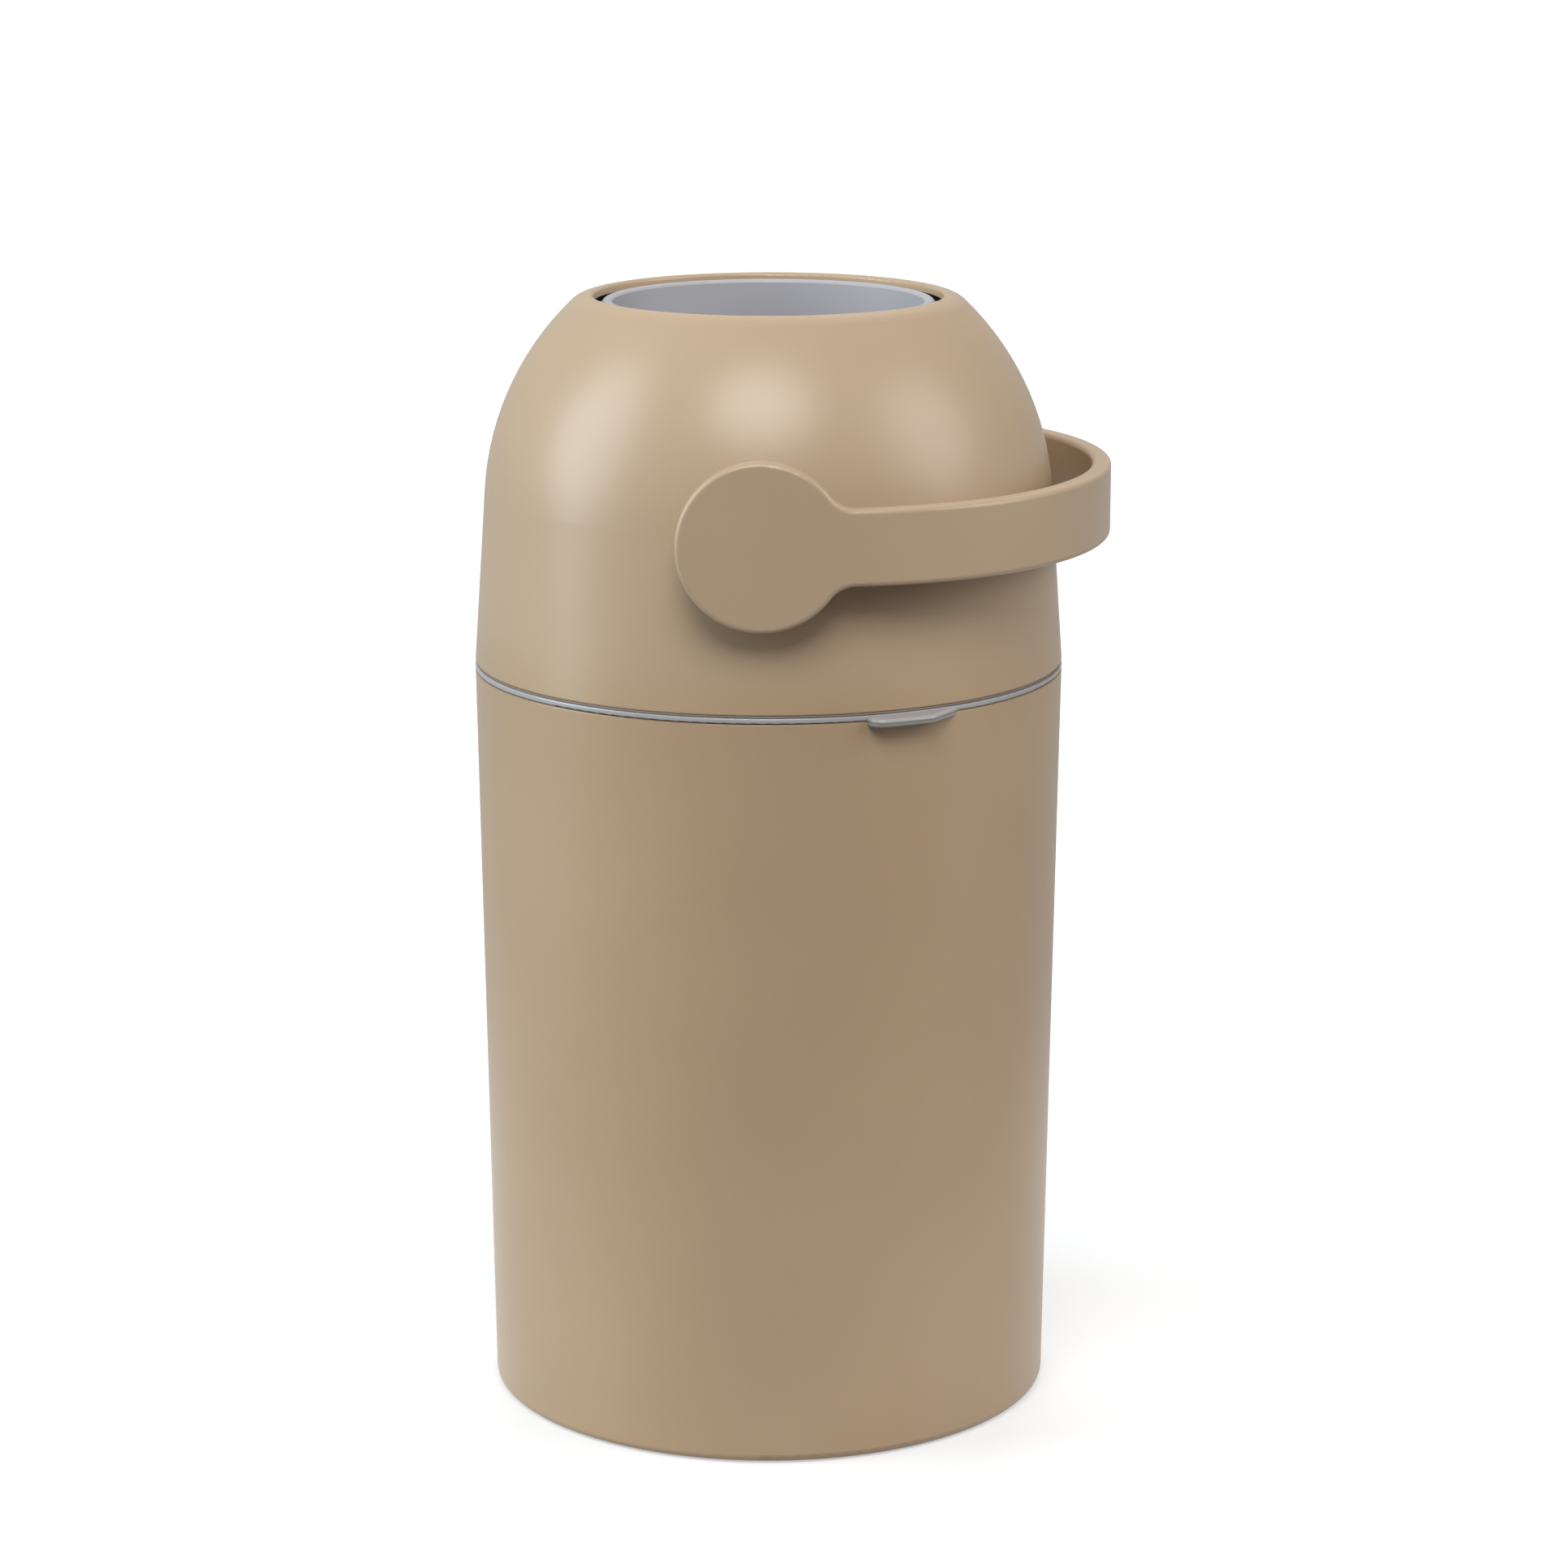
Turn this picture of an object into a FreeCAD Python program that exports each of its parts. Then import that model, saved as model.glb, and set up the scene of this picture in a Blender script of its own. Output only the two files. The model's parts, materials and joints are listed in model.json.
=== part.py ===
import FreeCAD, Part
import math
import os
import re

import Sketcher

# Diaper pail with a flip handle: a tapered bin, a bag ring, and a domed head that holds a turning
# rotor. The rotor is a ball with a chute through it, and a weighted piston slides in the chute.
# Millimetres, +Z up, origin at the middle of the base. The handle lies towards +X at rest, and its
# pivot runs along Y.

doc = FreeCAD.newDocument("diaper_pail")

# Driving sizes: name, value, meaning
SIZES = [
    ("belt_radius", 135.0, "outer radius at the parting line"),
    ("bin_draft", 5.3, "narrowing of the bin from its rim to its base"),
    ("bin_height", 342.6, "rim of the bin above the floor"),
    ("bin_wall", 2.8, "wall of the bin"),
    ("bin_floor", 3.0, "floor of the bin"),
    ("floor_rise", 6.0, "underside of the floor above the lower edge"),
    ("base_edge", 4.0, "rounding of the lower edge"),
    ("foot_lift", 0.6, "lower edge above the ground"),
    ("foot_inset", 14.0, "foot ring inside the base radius"),
    ("foot_width", 8.0, "width of the foot ring"),
    ("parting_edge", 0.8, "rounding of the edges at the parting line"),
    ("ring_band", 2.6, "visible band of the bag ring"),
    ("ring_wall", 2.4, "skirt wall of the bag ring"),
    ("ring_depth", 22.0, "skirt of the bag ring below the rim"),
    ("ring_play", 1.0, "skirt of the bag ring inside the bin"),
    ("tab_azimuth", 29.4, "tab, degrees from the front towards the handle"),
    ("tab_width", 45.5, "width of the tab at the ring"),
    ("tab_slant", 60.0, "tab's far side, degrees from straight outwards"),
    ("tab_reach", 8.0, "tab beyond the ring"),
    ("tab_drop", 0.6, "fall of the tab's top to its tip"),
    ("tab_root", 4.2, "thickness of the tab at the ring"),
    ("tab_tip", 3.2, "thickness of the tab at its tip"),
    ("tab_corner", 7.0, "rounding of the tab's corners seen from above"),
    ("tab_edge", 1.3, "rounding of the tab's rim"),
    ("tab_clearance", 0.5, "tab outside the bin wall"),
    ("gasket_height", 1.1, "gasket between ring and dome"),
    ("gasket_inset", 1.2, "gasket inside the belt radius"),
    ("gasket_width", 4.0, "width of the gasket"),
    ("dome_wall", 3.0, "wall of the dome"),
    ("dome_rise", 69.4, "centre of the dome's sphere above its lower edge"),
    ("dome_taper", 3.87, "degrees of taper below the sphere"),
    ("rim_round", 12.7, "rounding from the sphere to the rim"),
    ("rim_edge", 1.5, "rounding of the rim into the opening"),
    ("rim_depth", 3.8, "height of the rim's inner face"),
    ("opening_radius", 79.5, "opening of the dome"),
    ("pivot_rise", 6.3, "pivot above the centre of the sphere"),
    ("pad_edge", 0.5, "hub pads beyond the stops"),
    ("pad_proud", 3.5, "hub pads outside the dome"),
    ("pad_gap", 2.5, "hub pads clear of the rotor"),
    ("stop_width", 4.0, "radial width of the stops"),
    ("stop_play", 0.6, "stops clear of what they pass"),
    ("lug_angle", 24.0, "degrees of the handle's stop lug"),
    ("stop_angle", 1.0, "degrees between lug and stop at rest"),
    ("baffle_rise", 2.5, "baffle plate above the dome's lower edge"),
    ("baffle_thick", 3.0, "baffle plate"),
    ("baffle_play", 0.8, "baffle plate inside the dome"),
    ("spigot_wall", 2.4, "spigot of the baffle plate"),
    ("spigot_depth", 8.0, "spigot below the top of the bag ring"),
    ("head_play", 0.6, "spigot inside the bag ring"),
    ("post_radius", 4.5, "screw posts in the dome"),
    ("post_height", 20.0, "screw posts above the baffle plate"),
    ("post_rib", 4.0, "rib from a post to the dome"),
    ("screw_radius", 1.75, "baffle screw shank"),
    ("screw_head", 3.4, "baffle screw head radius"),
    ("screw_head_height", 2.2, "baffle screw head height"),
    ("screw_length", 16.0, "baffle screw shank length"),
    ("screw_clearance", 0.15, "screw holes round their shanks"),
    ("seal_width", 6.0, "seal rings"),
    ("seal_height", 5.0, "lower seal ring"),
    ("seal_gap", 0.4, "seal rings clear of the rotor"),
    ("rotor_gap", 2.5, "rotor clear of the dome's rim"),
    ("rotor_wall", 2.6, "wall of the rotor shells"),
    ("chute_gap", 4.1, "chute lip inside the opening"),
    ("chute_wall", 2.0, "wall of the chute tube"),
    ("lip_width", 4.6, "chute lip"),
    ("lip_round", 2.6, "rounding of the lip's crest"),
    ("lip_depth", 17.5, "lip above the end of the chute tube"),
    ("lip_lap", 2.5, "lip over the end of the chute tube"),
    ("lip_play", 0.1, "lip round the chute tube"),
    ("piston_stop", 1.0, "lip inside the chute bore"),
    ("axle_radius", 15.0, "axle journals"),
    ("axle_square", 20.0, "square ends of the axles"),
    ("running_fit", 0.05, "radial play of the journals in the bushes"),
    ("key_play", 0.1, "play of the square ends in their sockets"),
    ("socket_wall", 3.2, "chute boss round the corner of its socket"),
    ("socket_floor", 10.0, "chute boss between tube and socket"),
    ("boss_play", 0.15, "shell notches round the chute bosses"),
    ("bush_wall", 3.0, "wall of the bushes"),
    ("bush_flange", 1.5, "flange of the bushes"),
    ("flange_width", 2.0, "flange beyond the bush wall"),
    ("handle_play", 0.4, "handle hub clear of the bush flange"),
    ("hub_height", 3.35, "hub of the handle under its disc"),
    ("hub_wall", 4.0, "hub of the handle round the corner of its socket"),
    ("key_depth", 5.2, "square end of the axle in the handle"),
    ("face_wall", 2.2, "handle's outer face over the hub screw"),
    ("strap_thick", 8.75, "handle strap thickness"),
    ("strap_width", 33.5, "handle strap width"),
    ("disc_radius", 37.1, "hub discs of the handle"),
    ("neck_round", 14.0, "blend from disc to strap"),
    ("handle_edge", 2.2, "rounding of the handle's edges"),
    ("handle_straight", 22.0, "straight run of the strap before its bow"),
    ("handle_bow", 8.7, "reach of the bow beyond the discs' faces"),
    ("bolt_radius", 2.5, "hub screw shank"),
    ("bolt_head", 4.75, "hub screw head radius"),
    ("bolt_head_height", 2.8, "hub screw head height"),
    ("bolt_sink", 0.6, "hub screw head below the chute bore"),
    ("piston_height", 30.0, "piston over all"),
    ("piston_play", 0.5, "piston in the chute bore"),
    ("piston_wall", 3.2, "wall of the piston cup"),
    ("piston_floor", 3.0, "floor of the piston cup"),
    ("piston_cover", 3.0, "cover of the piston"),
    ("end_play", 0.2, "piston from the lips at the ends of its travel"),
    ("weight_thick", 5.0, "steel weight in the piston"),
    ("weight_play", 0.6, "weight inside the piston cup"),
    ("wiper_height", 6.0, "wiper ring of the piston"),
    ("wiper_depth", 1.6, "wiper ring sunk in the piston"),
    ("wiper_gap", 0.35, "wiper ring in the chute bore"),
]

# Sizes that follow from the driving ones: name, formula, meaning
DERIVED = [
    ("base_radius", "belt_radius - bin_draft", "outer radius of the bin at its base"),
    ("floor_top", "foot_lift + floor_rise + bin_floor", "inside of the bin's floor"),
    ("bin_slope", "bin_draft / (bin_height - floor_top)", "lean of the bin's inside per unit of height"),
    ("ring_top", "bin_height + ring_band", "top of the bag ring"),
    ("skirt_outer", "belt_radius - bin_wall - ring_play", "outside of the ring's skirt at the rim"),
    ("skirt_low", "skirt_outer - ring_depth * bin_slope", "outside of the ring's skirt at its lower end"),
    ("ring_inner", "skirt_low - ring_wall", "bore of the bag ring"),
    ("tab_base", "sqrt(belt_radius^2 - tab_width^2 / 4)", "ends of the tab on the ring, out from the axis"),
    ("dome_low", "ring_top + gasket_height", "lower edge of the dome"),
    ("dome_centre", "dome_low + dome_rise", "centre of the dome's sphere"),
    ("dome_radius", "belt_radius * cos(dome_taper) - dome_rise * sin(dome_taper)", "sphere of the dome"),
    ("dome_bore", "belt_radius - dome_wall / cos(dome_taper)", "inside of the dome at its lower edge"),
    ("rim_radius", "opening_radius + rim_edge", "crest of the rim"),
    ("crest_rise", "sqrt((dome_radius - rim_round)^2 - rim_radius^2)", "centre of the rim's rounding"),
    ("dome_top", "dome_centre + crest_rise + rim_round", "crest of the rim above the ground"),
    ("rim_share", "dome_radius / (dome_radius - rim_round)", "sphere over the rounding's centre"),
    ("rim_low", "dome_top - rim_depth", "lower end of the rim's inner face"),
    ("rim_shelf", "sqrt((dome_radius - dome_wall)^2 - (rim_low - dome_centre)^2)", "rim meets the inside"),
    ("pivot", "dome_centre + pivot_rise", "pivot above the ground"),
    ("rotor_radius", "sqrt(opening_radius^2 + (rim_low - pivot)^2) - rotor_gap", "ball of the rotor"),
    ("lip_outer", "opening_radius - chute_gap", "outside of the chute lip"),
    ("lip_inner", "lip_outer - lip_width", "inside of the chute lip"),
    ("lip_corner", "sqrt(rotor_radius^2 - lip_outer^2)", "outer corner of the lip from the pivot"),
    ("chute_bore", "lip_inner + piston_stop", "bore of the chute tube"),
    ("chute_outer", "chute_bore + chute_wall", "outside of the chute tube"),
    ("tube_end", "lip_corner - lip_depth", "end of the chute tube from the pivot"),
    ("boss_radius", "axle_square / sqrt(2) + socket_wall", "chute bosses"),
    ("boss_end", "sqrt(rotor_radius^2 - boss_radius^2) - boss_play", "end of the chute bosses"),
    ("socket_start", "chute_outer + socket_floor", "inner end of the chute sockets"),
    ("bush_radius", "axle_radius + running_fit + bush_wall", "outside of the bushes"),
    ("pad_inner", "rotor_radius + pad_gap", "inner ends of the hub pads"),
    ("pad_outer", "dome_radius + pad_proud", "outer ends of the hub pads"),
    ("hub_face", "pad_outer + bush_flange + handle_play", "inner face of the handle's hub"),
    ("strap_inner", "hub_face + hub_height", "inner face of the handle's discs"),
    ("strap_outer", "strap_inner + strap_thick", "outer face of the handle's discs"),
    ("handle_reach", "strap_outer + handle_bow", "reach of the handle"),
    ("hub_radius", "axle_square / sqrt(2) + hub_wall", "hub of the handle"),
    ("stop_inner", "bush_radius + flange_width + stop_play", "inside of the stops"),
    ("lug_radius", "stop_inner + stop_width", "outside of the stops and of the handle's stop lug"),
    ("pad_radius", "lug_radius + pad_edge", "hub pads on the dome"),
    ("bolt_seat", "chute_bore + bolt_sink + bolt_head_height", "seat of the hub screw heads"),
    ("baffle_low", "dome_low + baffle_rise", "underside of the baffle plate"),
    ("baffle_top", "baffle_low + baffle_thick", "top of the baffle plate"),
    ("baffle_radius", "dome_bore - baffle_play - (baffle_top - dome_low) * tan(dome_taper)", "baffle plate"),
    ("spigot_outer", "ring_inner - head_play", "outside of the spigot"),
    ("spigot_inner", "spigot_outer - spigot_wall", "inside of the spigot"),
    ("post_circle", "spigot_inner - screw_head - ring_play", "circle of the screw posts"),
    ("seal_sphere", "rotor_radius + seal_gap", "inner face of the seal rings"),
    ("seal_foot", "sqrt(seal_sphere^2 - (pivot - baffle_top)^2)", "lower seal at its foot"),
    ("seal_brow", "sqrt(seal_sphere^2 - (pivot - baffle_top - seal_height)^2)", "lower seal at its top"),
    ("upper_seal_inner", "rim_shelf + ring_play", "upper seal, inside"),
    ("upper_seal_outer", "upper_seal_inner + seal_width", "upper seal, outside"),
    ("piston_radius", "chute_bore - piston_play", "outside of the piston"),
    ("cup_bore", "piston_radius - piston_wall", "inside of the piston cup"),
    ("piston_low", "tube_end - end_play", "underside of the piston below the pivot"),
    ("cup_height", "piston_height - piston_cover", "height of the piston cup"),
]

sheet = doc.addObject("Spreadsheet::Sheet", "Sizes")
for row, (alias, value, meaning) in enumerate(SIZES, start=1):
    sheet.set(f"A{row}", str(value))
    sheet.setAlias(f"A{row}", alias)
    sheet.set(f"B{row}", meaning)
for row, (alias, formula, meaning) in enumerate(DERIVED, start=len(SIZES) + 1):
    sheet.set(f"A{row}", "=" + formula)
    sheet.setAlias(f"A{row}", alias)
    sheet.set(f"B{row}", meaning)
doc.recompute()

ALIASES = {row[0] for row in SIZES + DERIVED}


def tied(text):
    """The formula with each size's name pointing at its cell."""
    return re.sub(r"[a-z_]+", lambda word: "Sizes." + word[0] if word[0] in ALIASES else word[0], text)


def size(text):
    """The formula's present value in millimetres or degrees."""
    value = sheet.evalExpression(text)
    return float(getattr(value, "Value", value))


def bind(item, **formulas):
    """Bind properties to formulas. A double underscore in a name stands for a dot."""
    for name, formula in formulas.items():
        item.setExpression(name.replace("__", "."), tied(formula))
    return item


def place(item, x="0", y="0", z="0", axis=None, turn="0"):
    """Bind a placement: a position and a turn in degrees about a fixed axis."""
    if axis:
        item.Placement = FreeCAD.Placement(FreeCAD.Vector(), FreeCAD.Rotation(FreeCAD.Vector(*axis), 1))
        bind(item, Placement__Rotation__Angle=turn)
    return bind(item, Placement__Base__x=x, Placement__Base__y=y, Placement__Base__z=z)


def origin_feature(body, role):
    return next(item for item in body.Origin.OriginFeatures if item.Role == role)


def pin_point(sketch, edge, end, across, up):
    """Hold one end of an edge at two formulas measured from the sketch's origin."""
    for kind, formula, on_axis in (("DistanceX", across, -2), ("DistanceY", up, -1)):
        value = size(formula)
        if abs(value) < 1e-9:
            sketch.addConstraint(Sketcher.Constraint("PointOnObject", edge, end, on_axis))
            continue
        ends = (-1, 1, edge, end) if value > 0 else (edge, end, -1, 1)
        index = sketch.addConstraint(Sketcher.Constraint(kind, *ends, abs(value)))
        sketch.setExpression(f"Constraints[{index}]", tied(formula if value > 0 else f"-({formula})"))


def short_arc(start, end, radius, side):
    """The short arc from start to end that bulges to the named side of its chord."""
    chord = end - start
    depth = (radius**2 - chord.Length**2 / 4) ** 0.5
    inward = FreeCAD.Vector(-chord.y, chord.x, 0).normalize() * (depth if side == "right" else -depth)
    centre = (start + end) / 2 + inward
    ends = (start, end) if side == "right" else (end, start)
    angles = [math.atan2(point.y - centre.y, point.x - centre.x) for point in ends]
    return Part.ArcOfCircle(Part.Circle(centre, FreeCAD.Vector(0, 0, 1), radius), *angles)


def outline(body, plane, corners):
    """A closed outline in one of the body's origin planes.

    Each corner is (across, up), or (across, up, radius, side) where an arc leads on to the next
    corner and bulges to that side of its chord.
    """
    sketch = body.newObject("Sketcher::SketchObject", body.Name + "_outline")
    sketch.AttachmentSupport = (origin_feature(body, plane), [""])
    sketch.MapMode = "FlatFace"
    points = [FreeCAD.Vector(size(corner[0]), size(corner[1]), 0) for corner in corners]
    starts = []
    for index, corner in enumerate(corners):
        start = points[index]
        end = points[(index + 1) % len(points)]
        if len(corner) == 2:
            edge = sketch.addGeometry(Part.LineSegment(start, end))
            starts.append((edge, 1))
            continue
        edge = sketch.addGeometry(short_arc(start, end, size(corner[2]), corner[3]))
        starts.append((edge, 1 if corner[3] == "right" else 2))
    for index, (edge, end) in enumerate(starts):
        before, before_start = starts[index - 1]
        sketch.addConstraint(Sketcher.Constraint("Coincident", before, 3 - before_start, edge, end))
    for (edge, end), corner in zip(starts, corners):
        pin_point(sketch, edge, end, corner[0], corner[1])
        if len(corner) == 4:
            index = sketch.addConstraint(Sketcher.Constraint("Radius", edge, size(corner[2])))
            sketch.setExpression(f"Constraints[{index}]", tied(corner[2]))
    return sketch


def turned(label, corners, axis="V_Axis", plane="XZ_Plane"):
    """A body turned about an axis of its outline's plane: upright for V_Axis, along Y for H_Axis of YZ."""
    body = doc.addObject("PartDesign::Body", label)
    sketch = outline(body, plane, corners)
    turn = body.newObject("PartDesign::Revolution", label + "_turn")
    turn.Profile = sketch
    turn.ReferenceAxis = (sketch, [axis])
    turn.Angle = 360
    doc.recompute()
    return body


def round_rings(body, radius, *rings):
    """Round the circular edges of a turned body that lie at (radius, height) formulas."""
    tip = body.Tip
    wanted = [(size(ring), size(height)) for ring, height in rings]
    names = []
    for number, edge in enumerate(tip.Shape.Edges, start=1):
        curve = edge.Curve
        if not isinstance(curve, Part.Circle):
            continue
        if any(abs(curve.Radius - r) < 1e-4 and abs(curve.Center.z - z) < 1e-4 for r, z in wanted):
            names.append(f"Edge{number}")
    fillet = body.newObject("PartDesign::Fillet", body.Name + "_edges")
    fillet.Base = (tip, names)
    bind(fillet, Radius=radius)
    doc.recompute()
    return body


def cylinder(name, radius, length, **where):
    """A cylinder along Z, or turned by its placement."""
    item = doc.addObject("Part::Cylinder", name)
    bind(item, Radius=radius, Height=length)
    place(item, **where)
    return item


def cross_cylinder(name, radius, start, end, height="pivot", side=-1):
    """A cylinder along Y, from start to end measured out from the axis of the bin, at one side."""
    item = doc.addObject("Part::Cylinder", name)
    bind(item, Radius=radius, Height=f"{end} - ({start})")
    y = f"-({start})" if side < 0 else start
    place(item, y=y, z=height, axis=(side * -1, 0, 0), turn="90")
    return item


def box(name, x, y, z):
    """A box between pairs of formulas."""
    item = doc.addObject("Part::Box", name)
    bind(item, Length=f"{x[1]} - ({x[0]})", Width=f"{y[1]} - ({y[0]})", Height=f"{z[1]} - ({z[0]})")
    place(item, x=x[0], y=y[0], z=z[0])
    return item


def cross_square(name, width, start, end, side, height="pivot"):
    """A square bar along Y from start to end, measured out from the axis of the bin, at one side."""
    y = (start, end) if side > 0 else (f"-({end})", f"-({start})")
    half = f"({width}) / 2"
    return box(name, (f"-{half}", half), y, (f"{height} - {half}", f"{height} + {half}"))


def fuse(name, *items):
    item = doc.addObject("Part::MultiFuse", name)
    item.Shapes = list(items)
    item.Refine = True
    doc.recompute()
    return item


def cut(name, base, *tools):
    item = doc.addObject("Part::Cut", name)
    item.Base = base
    item.Tool = tools[0] if len(tools) == 1 else fuse(name + "_tools", *tools)
    item.Refine = True
    doc.recompute()
    return item


def common(name, first, second):
    item = doc.addObject("Part::Common", name)
    item.Base = first
    item.Tool = second
    doc.recompute()
    return item


def round_edges(name, base, radius, chosen):
    """Round the edges of a solid that the test chooses."""
    item = doc.addObject("Part::Fillet", name)
    item.Base = base
    value = size(radius)
    numbers = [number for number, edge in enumerate(base.Shape.Edges, start=1) if chosen(edge)]
    item.Edges = [(number, value, value) for number in numbers]
    doc.recompute()
    return item


def sector(name, inner, outer, start, end, angle, middle, side):
    """A sector of a ring round the pivot: its angle and its middle in degrees from +X towards +Z."""
    pie = doc.addObject("Part::Cylinder", name + "_pie")
    bind(pie, Radius=outer, Height=f"{end} - ({start})", Angle=angle)
    lift = FreeCAD.Rotation(FreeCAD.Vector(1, 0, 0), 90)
    spin = FreeCAD.Rotation(FreeCAD.Vector(0, -1, 0), size(middle) - size(angle) / 2)
    pie.Placement = FreeCAD.Placement(FreeCAD.Vector(), spin * lift)
    bind(pie, Placement__Base__y=f"-({start})" if side < 0 else end, Placement__Base__z="pivot")
    core = cross_cylinder(name + "_core", inner, start, end, side=side)
    return cut(name, pie, core)


SIDES = (("front", -1), ("rear", 1))
POSTS = (45, 135, 225, 315)
nodes = {}


def keep(label, item):
    """Give the finished sub-part its label, which names its file."""
    item.Label = label
    nodes[label] = item


# Bin

def make_bin():
    body = turned("bin_body", [
        ("0", "floor_top"),
        ("0", "foot_lift + floor_rise"),
        ("base_radius - bin_wall - base_edge", "foot_lift + floor_rise"),
        ("base_radius - bin_wall - base_edge", "foot_lift"),
        ("base_radius", "foot_lift"),
        ("belt_radius", "bin_height"),
        ("belt_radius - bin_wall", "bin_height"),
        ("base_radius - bin_wall", "floor_top"),
    ])
    round_rings(body, "base_edge", ("base_radius", "foot_lift"))
    round_rings(body, "parting_edge", ("belt_radius", "bin_height"))
    keep("bin_body", body)
    foot_outer = "base_radius - foot_inset"
    foot = turned("foot_ring", [
        (f"{foot_outer} - foot_width", "0"),
        (foot_outer, "0"),
        (foot_outer, "foot_lift + floor_rise"),
        (f"{foot_outer} - foot_width", "foot_lift + floor_rise"),
    ])
    keep("foot_ring", foot)


# Bag ring with its lift tab

def make_bag_ring():
    ring = turned("ring_turned", [
        ("ring_inner", "bin_height - ring_depth"),
        ("skirt_low", "bin_height - ring_depth"),
        ("skirt_outer", "bin_height"),
        ("belt_radius", "bin_height"),
        ("belt_radius", "ring_top"),
        ("ring_inner", "ring_top"),
    ])
    round_rings(ring, "parting_edge", ("belt_radius", "bin_height"), ("belt_radius", "ring_top"))
    # The tab is a lip of even reach along the ring, with rounded corners, clear of the bin's wall
    tip = "belt_radius + tab_reach"
    top = "ring_top - parting_edge / 2"
    band = turned("tab_band", [
        ("belt_radius - ring_wall", "bin_height"),
        ("belt_radius + tab_clearance", "bin_height"),
        ("belt_radius + tab_clearance", f"{top} - tab_root"),
        (tip, f"{top} - tab_drop - tab_tip"),
        (tip, f"{top} - tab_drop"),
        ("belt_radius", top),
        ("belt_radius - ring_wall", top),
    ])
    plan = doc.addObject("Part::Box", "tab_plan")
    bind(plan, Length="2 * belt_radius", Width="1.5 * tab_width", Height="2 * ring_top")
    place(plan, x="-tab_width / 2 * cos(tab_azimuth)", y="-tab_width / 2 * sin(tab_azimuth)",
          axis=(0, 0, 1), turn="tab_azimuth - 90")
    # Its far side runs slanting back into the ring, along one side of a box that starts inside the ring
    slope = "tab_azimuth - 90 - tab_slant"
    beyond = doc.addObject("Part::Box", "tab_beyond")
    bind(beyond, Length="4 * tab_width", Width="4 * tab_width", Height="2 * ring_top")
    corner = [f"tab_base * {wave}(tab_azimuth - 90) + tab_width / 2 * {wave}(tab_azimuth)"
              f" - tab_width * {wave}({slope})" for wave in ("cos", "sin")]
    place(beyond, x=corner[0], y=corner[1], axis=(0, 0, 1), turn=slope)
    tab = cut("tab", common("tab_wide", band, plan), beyond)

    def upright_corner(edge):
        spot = edge.CenterOfMass
        upright = edge.BoundBox.XLength + edge.BoundBox.YLength < 1e-3
        return upright and (spot.x**2 + spot.y**2) ** 0.5 > size("belt_radius + tab_reach / 2")

    def on_rim(edge):
        spots = [edge.valueAt(edge.FirstParameter + share * (edge.LastParameter - edge.FirstParameter))
                 for share in (0.1, 0.5, 0.9)]
        reach = [(spot.x**2 + spot.y**2) ** 0.5 - size("belt_radius") for spot in spots]
        flat = edge.BoundBox.XLength + edge.BoundBox.YLength > 1e-3
        return flat and max(reach) > size("tab_reach / 2")

    tab = round_edges("tab_cornered", tab, "tab_corner", upright_corner)
    tab = round_edges("tab_rounded", tab, "tab_edge", on_rim)
    keep("bag_ring", fuse("bag_ring", ring, tab))


# Head: dome, gasket, baffle plate, seals and bushes

def make_dome():
    inside = "(dome_radius - dome_wall)"
    shell = turned("dome_turned", [
        ("belt_radius", "dome_low"),
        ("dome_radius * cos(dome_taper)", "dome_centre + dome_radius * sin(dome_taper)", "dome_radius", "right"),
        ("rim_radius * rim_share", "dome_centre + crest_rise * rim_share", "rim_round", "right"),
        ("rim_radius", "dome_top", "rim_edge", "right"),
        ("opening_radius", "dome_top - rim_edge"),
        ("opening_radius", "rim_low"),
        ("rim_shelf", "rim_low", inside, "left"),
        (f"{inside} * cos(dome_taper)", f"dome_centre + {inside} * sin(dome_taper)"),
        ("dome_bore", "dome_low"),
    ])
    round_rings(shell, "parting_edge", ("belt_radius", "dome_low"))
    added = [shell]
    removed = []
    for end, side in SIDES:
        added.append(cross_cylinder(f"pad_{end}", "pad_radius", "pad_inner", "pad_outer", side=side))
        added.append(sector(f"stop_{end}", "stop_inner", "lug_radius",
                            "pad_outer", "strap_inner - stop_play",
                            "180 - lug_angle - 2 * stop_angle", "-90", side))
        removed.append(cross_cylinder(f"bearing_{end}", "bush_radius", "pad_inner", "pad_outer", side=side))
    for turn in POSTS:
        x, y = f"post_circle * cos({turn})", f"post_circle * sin({turn})"
        added.append(cylinder(f"post_{turn}", "post_radius", "post_height", x=x, y=y, z="baffle_top"))
        rib = doc.addObject("Part::Box", f"rib_{turn}")
        bind(rib, Length="dome_bore - post_circle", Width="post_rib", Height="post_height")
        place(rib, x=f"{x} + post_rib / 2 * sin({turn})", y=f"{y} - post_rib / 2 * cos({turn})",
              z="baffle_top", axis=(0, 0, 1), turn=str(turn))
        added.append(rib)
        removed.append(cylinder(f"post_hole_{turn}", "screw_radius + screw_clearance", "screw_length",
                                x=x, y=y, z="baffle_top"))
    keep("dome_shell", cut("dome_shell", fuse("dome_solid", *added), *removed))


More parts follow.
